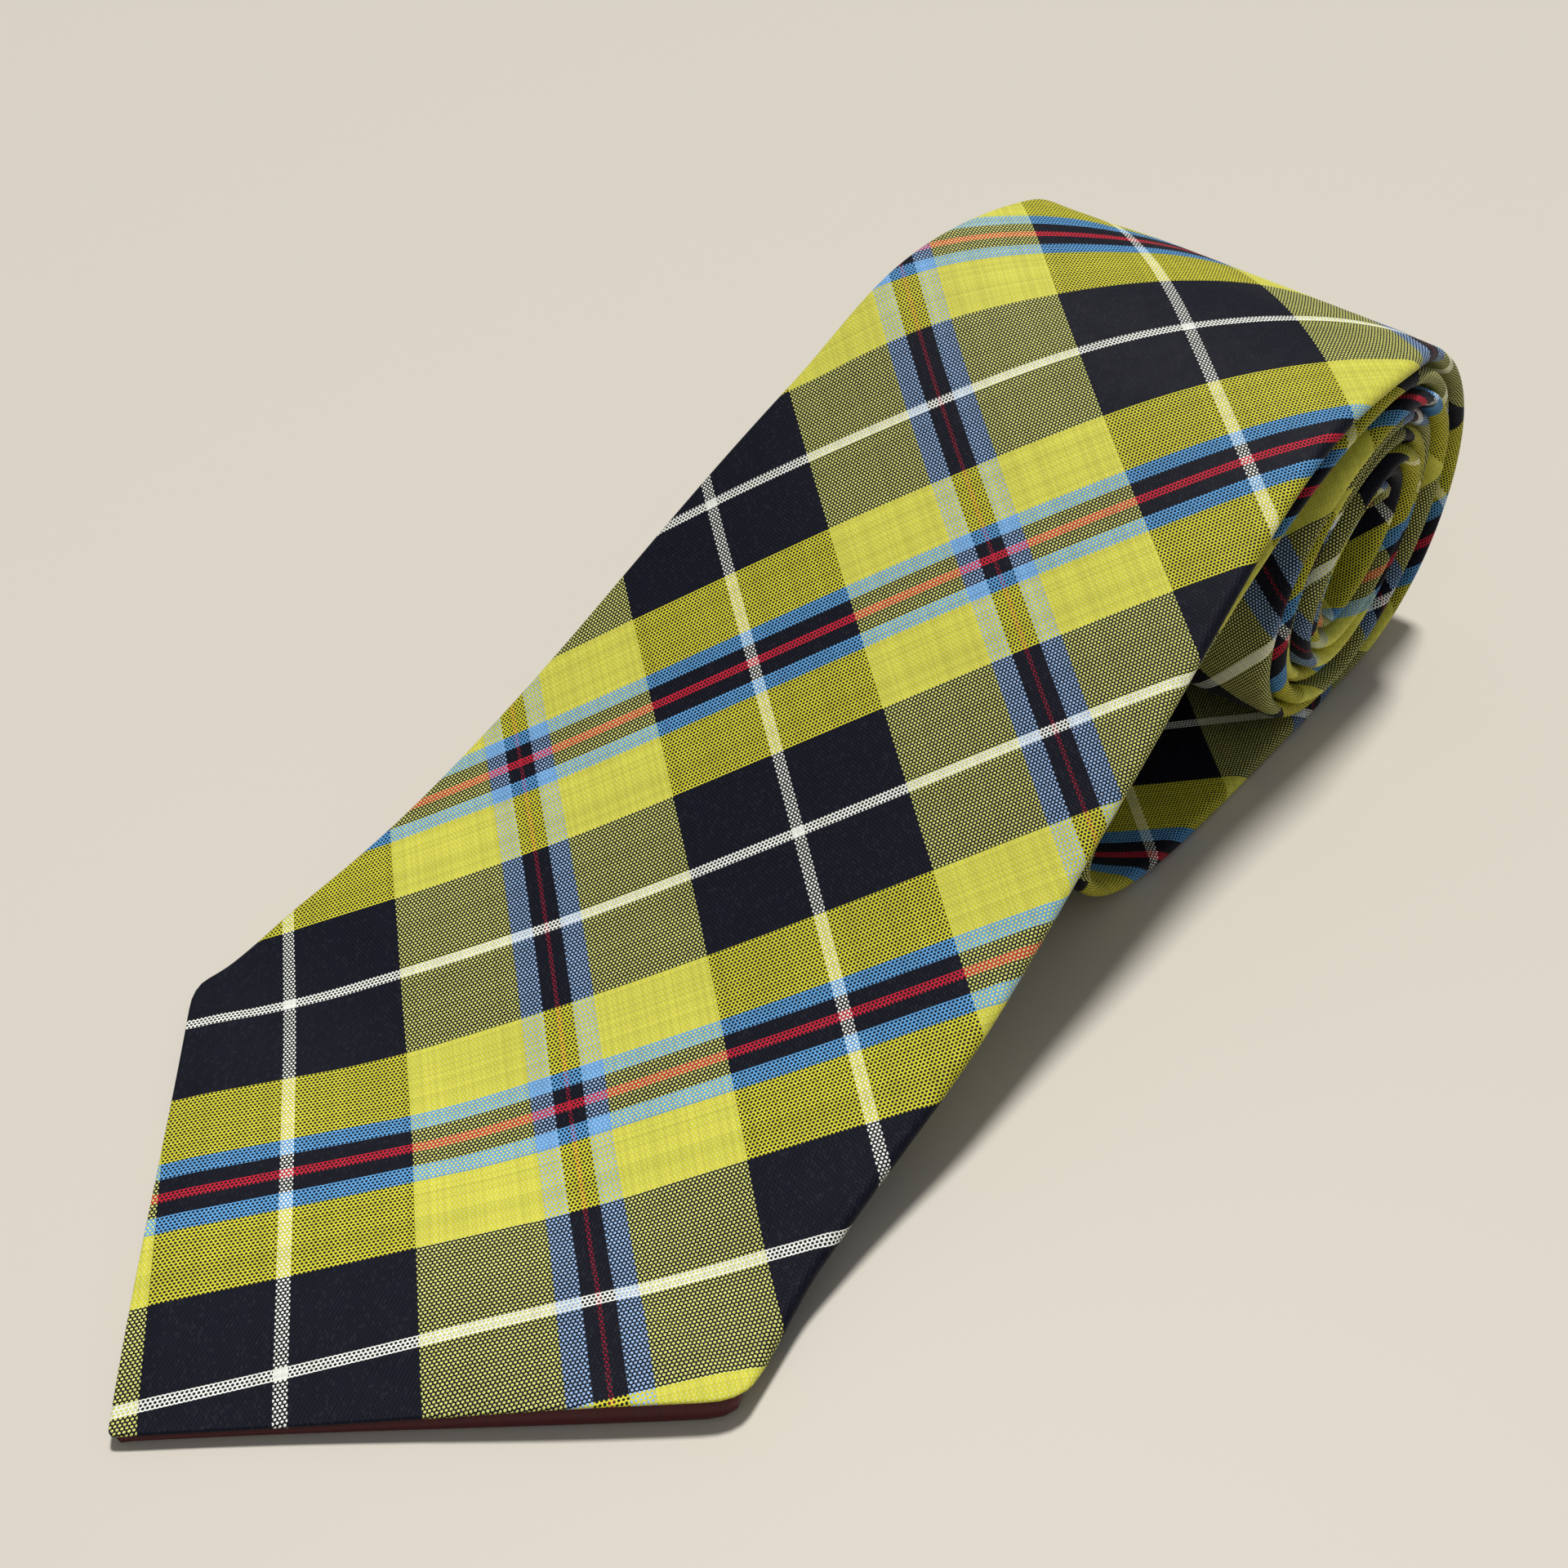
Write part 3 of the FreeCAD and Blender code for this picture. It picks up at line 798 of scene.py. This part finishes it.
cloth_tip = shell_piece("cloth_tip", point_rows(TIP_START, TIP_CUT), FINE, ["tip_shell"])
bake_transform(cloth_tip)

cloth_blade = shell_piece("cloth_blade", rows_between(TIP_CUT, BLADE_CUT, 1.8), FINE,
                          ["blade_shell"])
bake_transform(cloth_blade)

cloth_roll = shell_piece("cloth_roll", rows_between(BLADE_CUT, FRONT_SEAM - SEAM_GAP, 2.2),
                         ROLLED, ["roll_blade_shell"])
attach(cloth_roll, "root")
neck_rows = rows_between(FRONT_SEAM + SEAM_GAP, TAIL_SEAM - SEAM_GAP, 2.2)
cloth_neck = shell_piece("cloth_neck", neck_rows, PLAIN, ["neck_shell"])
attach(cloth_neck, "root")
cloth_tail = shell_piece("cloth_tail", tail_rows(TAIL_SEAM + SEAM_GAP, LENGTH, 2.0), PLAIN,
                         ["tail_outer_shell", "tail_inner_shell", "tail_point"])
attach(cloth_tail, "root")

# ---- seams ---------------------------------------------------------------------------


def seam_piece(name, arc, node):
    """The line of dark thread where two lengths of shell meet."""
    rows = np.array([arc - SEAM_GAP, arc, arc + SEAM_GAP])
    outer, inner, flat = shell_rings(rows, PLAIN)
    piece = two_layer(name, outer, inner, flat, DARK_SEWING)
    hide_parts(node)
    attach(piece, "root")


seam_piece("seam_front_neck", FRONT_SEAM, "front_neck_seam")
seam_piece("seam_neck_tail", TAIL_SEAM, "neck_tail_seam")

# ---- interlining ---------------------------------------------------------------------


WOOL_TOP, WOOL_BOTTOM = 0.72, 0.08              # its faces, out from the band's middle, mm


def wool_piece(name, start, end, node):
    """A flat wool strip with soft edges between the shell's front and its back folds."""
    arc = rows_between(start, end, 2.4)
    half = np.maximum(half_width(arc) - WOOL_INSET, 0.8)
    share = np.linspace(-1, 1, 13)
    across = np.concatenate([share, [1.006], share[::-1], [-1.006]])
    level = np.concatenate([0 * share + WOOL_TOP, [0.4], 0 * share + WOOL_BOTTOM, [0.4]])
    x = half[:, None] * across
    raised = lift(arc[:, None], x)
    rings = place(arc[:, None], x, level + raised)
    flat = np.stack([x, 0 * x + arc[:, None]], axis=-1) * MM
    piece = solid_strip(name, rings, flat, WOOL)
    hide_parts(node)
    return piece


wool_split = (FRONT_SEAM + TAIL_SEAM) / 2
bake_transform(wool_piece("wool_tip", TIP_START + 5, TIP_CUT, "tip_interlining"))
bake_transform(wool_piece("wool_blade", TIP_CUT, BLADE_CUT, "blade_interlining"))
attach(wool_piece("wool_roll", BLADE_CUT, wool_split, "front_interlining"), "root")
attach(wool_piece("wool_tail", wool_split, TAIL_START - 1, "tail_interlining"), "root")

# ---- tipping -------------------------------------------------------------------------


LINING_INSET = 4.2              # from the shell's edge, where the shell wraps round, mm
LINING_SHOWN = 3.85             # how much nearer the edge it comes at a point
LINING_DEEP, LINING_TOP = 0.38, 0.39            # below and above the band's middle
LINING_THICK = 0.35             # at least


def tipping_piece(name, arc, nodes):
    """The lining of a pointed end: it puffs out under the shell's edges there."""
    tip = tipness(arc)
    flat_part = np.maximum(1 - rise(arc, 44, 9), smooth((arc - TAIL_START) / 6))
    half = half_width(arc) - (LINING_INSET - LINING_SHOWN * tip)
    bottom = -LINING_DEEP - (HALF - 0.5) * flat_part
    top = np.maximum(bottom + LINING_THICK, (LINING_TOP + LINING_DEEP) * tip - LINING_DEEP)
    curl = np.minimum(0.9, 0.5 * half)
    rows = []
    for k in range(15):
        x = (half - curl) * (k / 14)
        rows.append((x, bottom, 0 * x, -math.pi / 2))
    for k in range(1, 9):
        angle = -math.pi / 2 + math.pi * k / 8
        rows.append((half - curl + curl * math.cos(angle), (bottom + top) / 2,
                     (top - bottom) / 2 * math.sin(angle), angle))
    for k in range(1, 3):
        rows.append((half - curl - k * np.minimum(0.5, 0.2 * half), top, 0 * half, math.pi / 2))
    x = np.array([np.broadcast_to(row[0], arc.shape) for row in rows]).T
    base = np.array([np.broadcast_to(row[1] + row[2], arc.shape) for row in rows]).T
    angle = np.array([row[3] for row in rows])
    # Where the shell's shoulder lifts, the lining's top goes with it and its bottom stays.
    share = np.clip((base - bottom[:, None]) / (top - bottom)[:, None], 0, 1)
    follows = share + (1 - share) * (1 - flat_part)[:, None]
    outer, inner, flat = [], [], []
    for sign in (1, -1):
        level = base + lift(arc[:, None], sign * x) * follows
        outer.append(place(arc[:, None], sign * x, level))
        inner.append(place(arc[:, None], sign * (x - SATIN * np.cos(angle)),
                           level - SATIN * np.sin(angle)))
        flat.append(np.stack([sign * x, 0 * x + arc[:, None]], axis=-1))
    piece = two_layer(name, joined(outer), joined(inner), joined(flat) * MM, TIPPING)
    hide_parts(*nodes)
    return piece


lining_rows = point_rows(TIP_START + 0.5, BACK_CLOSED + 8)
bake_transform(tipping_piece("tipping_front", lining_rows, ["tip_tipping", "blade_tipping"]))
lining_rows = tail_rows(TAIL_START - TAIL_OPENING, LENGTH - 0.5, 1.5)
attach(tipping_piece("tipping_tail", lining_rows, ["tail_tipping"]), "root")

# ---- thread work ---------------------------------------------------------------------


SIDES = 6                       # of a stitch's tube


def tubes(name, paths, radius, material):
    """Small closed tubes along short paths of (arc, across, out) points."""
    points, faces, flat = [], [], []
    for path in paths:
        path = np.array(path, float)
        line = place(path[:, 0], path[:, 1], path[:, 2]) / MM
        ahead = np.gradient(line, axis=0)
        ahead /= np.linalg.norm(ahead, axis=1)[:, None]
        side = np.cross(ahead, np.array([0.31, 0.52, 0.79]))    # along no stitch
        side /= np.linalg.norm(side, axis=1)[:, None]
        upward = np.cross(ahead, side)
        run = np.concatenate([[0], np.cumsum(np.linalg.norm(np.diff(line, axis=0), axis=1))])
        start, count = len(points), len(path)
        for k in range(count):
            thin = radius * (0.6 if k in (0, count - 1) else 1.0)
            for s in range(SIDES):
                turn = 2 * math.pi * s / SIDES
                points.append((line[k] + thin * (side[k] * math.cos(turn)
                                                 + upward[k] * math.sin(turn))) * MM)
                flat.append((radius * turn * MM, run[k] * MM))
        faces += quads(count, SIDES, start, wrap=True)
        faces.append(tuple(range(start + SIDES - 1, start - 1, -1)))
        faces.append(tuple(range(start + (count - 1) * SIDES, start + count * SIDES)))
    return new_object(name, points, faces, material, flat, sharp=75)


STITCH_STEP = 6.0
STITCH, FINE_STITCH, TACK = 0.16, 0.13, 0.2     # the threads' radii, mm

# Each kind of stitch: (along, across) from its middle and out from the band's middle, mm.
SLANTED = ((-0.9, -1.0, -0.95), (-0.6, -0.6, -1.27), (0.0, 0.0, -1.31), (0.6, 0.6, -1.27),
           (0.9, 1.0, -0.95))
WRAP = ((-0.9, 0.0, -1.05), (-0.7, 0.0, -1.4), (0.0, 0.1, -1.62), (0.7, 0.2, -1.4),
        (0.9, 0.2, -1.05))
KEEPER_STITCH = ((-0.7, -0.3, -1.9), (-0.4, 0.0, -2.14), (0.4, 0.0, -2.14), (0.7, 0.3, -1.9))


def stitch(shape, at, middle, side=1):
    """A stitch's path, with its middle at one place on the tie; side -1 mirrors it."""
    return [(at + along, middle + side * across, out) for along, across, out in shape]


def slip_stitches(name, start, end, node):
    """Slanted stitches along the slit where the back folds meet."""
    paths = []
    for k in range(int((end - start) / STITCH_STEP)):
        paths.append(stitch(SLANTED, start + 2 + STITCH_STEP * k, 0.0))
    piece = tubes(name, paths, STITCH, SEWING)
    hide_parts(node)
    return piece


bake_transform(slip_stitches("slip_stitch_blade", BACK_CLOSED + 5, BLADE_CUT, "blade_slip_stitch"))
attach(slip_stitches("slip_stitch_roll", BLADE_CUT, TAIL_START - TAIL_OPENING - 4,
                      "roll_slip_stitch"), "root")

TACK_ARC = BACK_CLOSED + 1.5
TACK_HALF = 4.3
TACK_WRAPS = 24
wraps = []
for k in range(TACK_WRAPS):
    wraps.append(stitch(WRAP, TACK_ARC, -TACK_HALF + 2 * TACK_HALF * k / (TACK_WRAPS - 1)))
bar_tack = tubes("front_bar_tack_thread", wraps, TACK, SEWING)
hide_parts("front_bar_tack")
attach(bar_tack, "blade")

# ---- keeper, label and care tab ------------------------------------------------------

KEEPER_ARC, KEEPER_W, KEEPER_H = 153.0, 46.0, 13.0
KEEPER_THICK = 0.8
KEEPER_RISE = 1.55              # how far its middle stands off the blade's back


def keeper():
    """A folded band of the shell cloth, sewn down at both ends."""
    edge = KEEPER_THICK / 2
    x = np.linspace(-KEEPER_W / 2, KEEPER_W / 2, 61)
    away = 0.05 + KEEPER_RISE * smooth((KEEPER_W / 2 - 2.2 - np.abs(x)) / 4.5)
    reach = KEEPER_H / 2 - 0.1 * np.cos(x / 3.0)
    share = np.linspace(-1, 1, 9)
    curl = [(math.cos(a), math.sin(a)) for a in np.linspace(math.pi / 2, -math.pi / 2, 7)[1:-1]]
    ring_arc, ring_out = [], []
    for t in share:
        ring_arc.append(KEEPER_ARC + (reach - edge) * t)
        ring_out.append(0 * x)
    for c, s in curl:
        ring_arc.append(KEEPER_ARC + reach - edge + edge * c)
        ring_out.append(0 * x + edge * s - edge)
    for t in share[::-1]:
        ring_arc.append(KEEPER_ARC + (reach - edge) * t)
        ring_out.append(0 * x - KEEPER_THICK)
    for c, s in curl[::-1]:
        ring_arc.append(KEEPER_ARC - reach + edge - edge * c)
        ring_out.append(0 * x + edge * s - edge)
    arc, out = np.array(ring_arc).T, np.array(ring_out).T
    rings = place(arc, x[:, None] + 0 * arc, -HALF - away[:, None] + out)
    # Its two faces show different stretches of the check.
    under = np.where(out < -edge, 14.0, 0.0)
    flat = np.stack([arc + 61.0 + under, x[:, None] + 0 * arc + 31.0], axis=-1) * MM
    piece = solid_strip("keeper_band", rings, flat, CHECK)
    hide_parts("keeper_loop")
    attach(piece, "blade")
    paths = []
    for side in (-1, 1):
        for k in range(5):
            paths.append(stitch(KEEPER_STITCH, KEEPER_ARC - 5 + 2.5 * k,
                                side * (KEEPER_W / 2 - 1.4), side))
    stitches = tubes("keeper_stitches", paths, FINE_STITCH, DARK_SEWING)
    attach(stitches, "blade")


def patch_piece(name, node, material, arc_at, across_at, width, height, thick, curl,
                sewn):
    """A patch on the back: softly rounded edges, one end a little curled.

    sewn lists its stitches as (arc, across, whether the stitch runs along the tie).
    """
    arc = arc_at + height * np.linspace(-0.5, 0.5, 27)
    share = np.linspace(-1, 1, 25)
    across = np.concatenate([share, [1.004], share[::-1], [-1.004]])
    level = np.concatenate([0 * share, [-thick / 2], 0 * share - thick, [-thick / 2]])
    x = across_at + width / 2 * across
    far = smooth((arc - arc_at) / height * 2)[:, None]
    wave = 0.12 * np.sin(x / 3.1)[None, :] * smooth((np.abs(arc - arc_at) / height * 2))[:, None]
    out = -HALF - 0.03 - curl * far * (0.6 + 0.4 * across ** 2) + level - np.abs(wave)
    rings = place(arc[:, None], x[None, :] + 0 * out, out)
    flat = np.stack([x[None, :] - across_at + 0 * out, arc[:, None] - arc_at + 0 * out], axis=-1)
    piece = solid_strip(name, rings, flat * MM, material)
    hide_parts(node)
    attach(piece, "blade")
    paths = []
    for at, x0, along in sewn:
        da, dx = (0.9, 0.0) if along else (0.0, 0.9)
        deep, high = -HALF - thick * 0.5, -HALF - thick - 0.32
        paths.append([(at - da, x0 - dx, deep), (at - da * 0.6, x0 - dx * 0.6, high),
                      (at + da * 0.6, x0 + dx * 0.6, high), (at + da, x0 + dx, deep)])
    stitches = tubes(name + "_stitches", paths, FINE_STITCH, DARK_SEWING)
    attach(stitches, "blade")


keeper()
LABEL_ARC = 112.0
label_sewn = []
for side in (-1, 1):
    for k in range(6):
        label_sewn.append((LABEL_ARC - 11 + 4.4 * k, side * (LABEL_W / 2 - 0.7), True))
patch_piece("label_patch", "blank_label", LABEL, LABEL_ARC, 0.0, LABEL_W, LABEL_H,
            0.35, 0.0, label_sewn)
TAB_ARC = LABEL_ARC + LABEL_H / 2 + TAB_H / 2 + 1
TAB_X = LABEL_W / 3
tab_sewn = [(TAB_ARC - TAB_H / 2 + 0.8, TAB_X + x, False)
            for x in (-6.4, -3.2, 0.0, 3.2, 6.4)]
patch_piece("care_tab_patch", "care_tab", TAB, TAB_ARC, TAB_X, TAB_W, TAB_H,
            0.3, 0.5, tab_sewn)

# ---- floor, light, end ---------------------------------------------------------------


FLOOR_HALF = 3.0                # metres


def make_stage():
    """A plain pale floor and an even, dim sky."""
    half = FLOOR_HALF
    corners = [(-half, -half, 0), (half, -half, 0), (half, half, 0), (-half, half, 0)]
    floor = new_object("floor", corners, [(0, 1, 2, 3)], bpy.data.materials.new("floor"),
                       smooth_shading=False)
    material = floor.data.materials[0]
    material.use_nodes = True
    shader = material.node_tree.nodes["Principled BSDF"]
    shader.inputs["Base Color"].default_value = (0.62, 0.58, 0.51, 1)
    shader.inputs["Roughness"].default_value = 0.6
    bpy.context.scene.view_settings.view_transform = "Standard"
    world = bpy.data.worlds.new("studio")
    bpy.context.scene.world = world
    world.use_nodes = True
    background = world.node_tree.nodes["Background"]
    background.inputs["Color"].default_value = (0.95, 0.97, 1.0, 1)
    background.inputs["Strength"].default_value = 0.18


def soft_sun(name, towards, spread, strength, colour=(1, 1, 1)):
    """An even, distant light; spread is the sun's width in degrees, for soft shadows."""
    data = bpy.data.lights.new(name, "SUN")
    data.angle = math.radians(spread)
    data.energy = strength
    data.color = colour
    light = bpy.data.objects.new(name, data)
    bpy.context.scene.collection.objects.link(light)
    light.location = towards
    light.rotation_mode = "QUATERNION"
    light.rotation_quaternion = Vector(towards).to_track_quat("Z", "Y")


make_stage()
soft_sun("key", (-0.10, 0.26, 0.98), 8.0, 3.0, (1.0, 0.985, 0.95))
soft_sun("fill", (0.3, -0.7, 0.8), 50.0, 0.25)
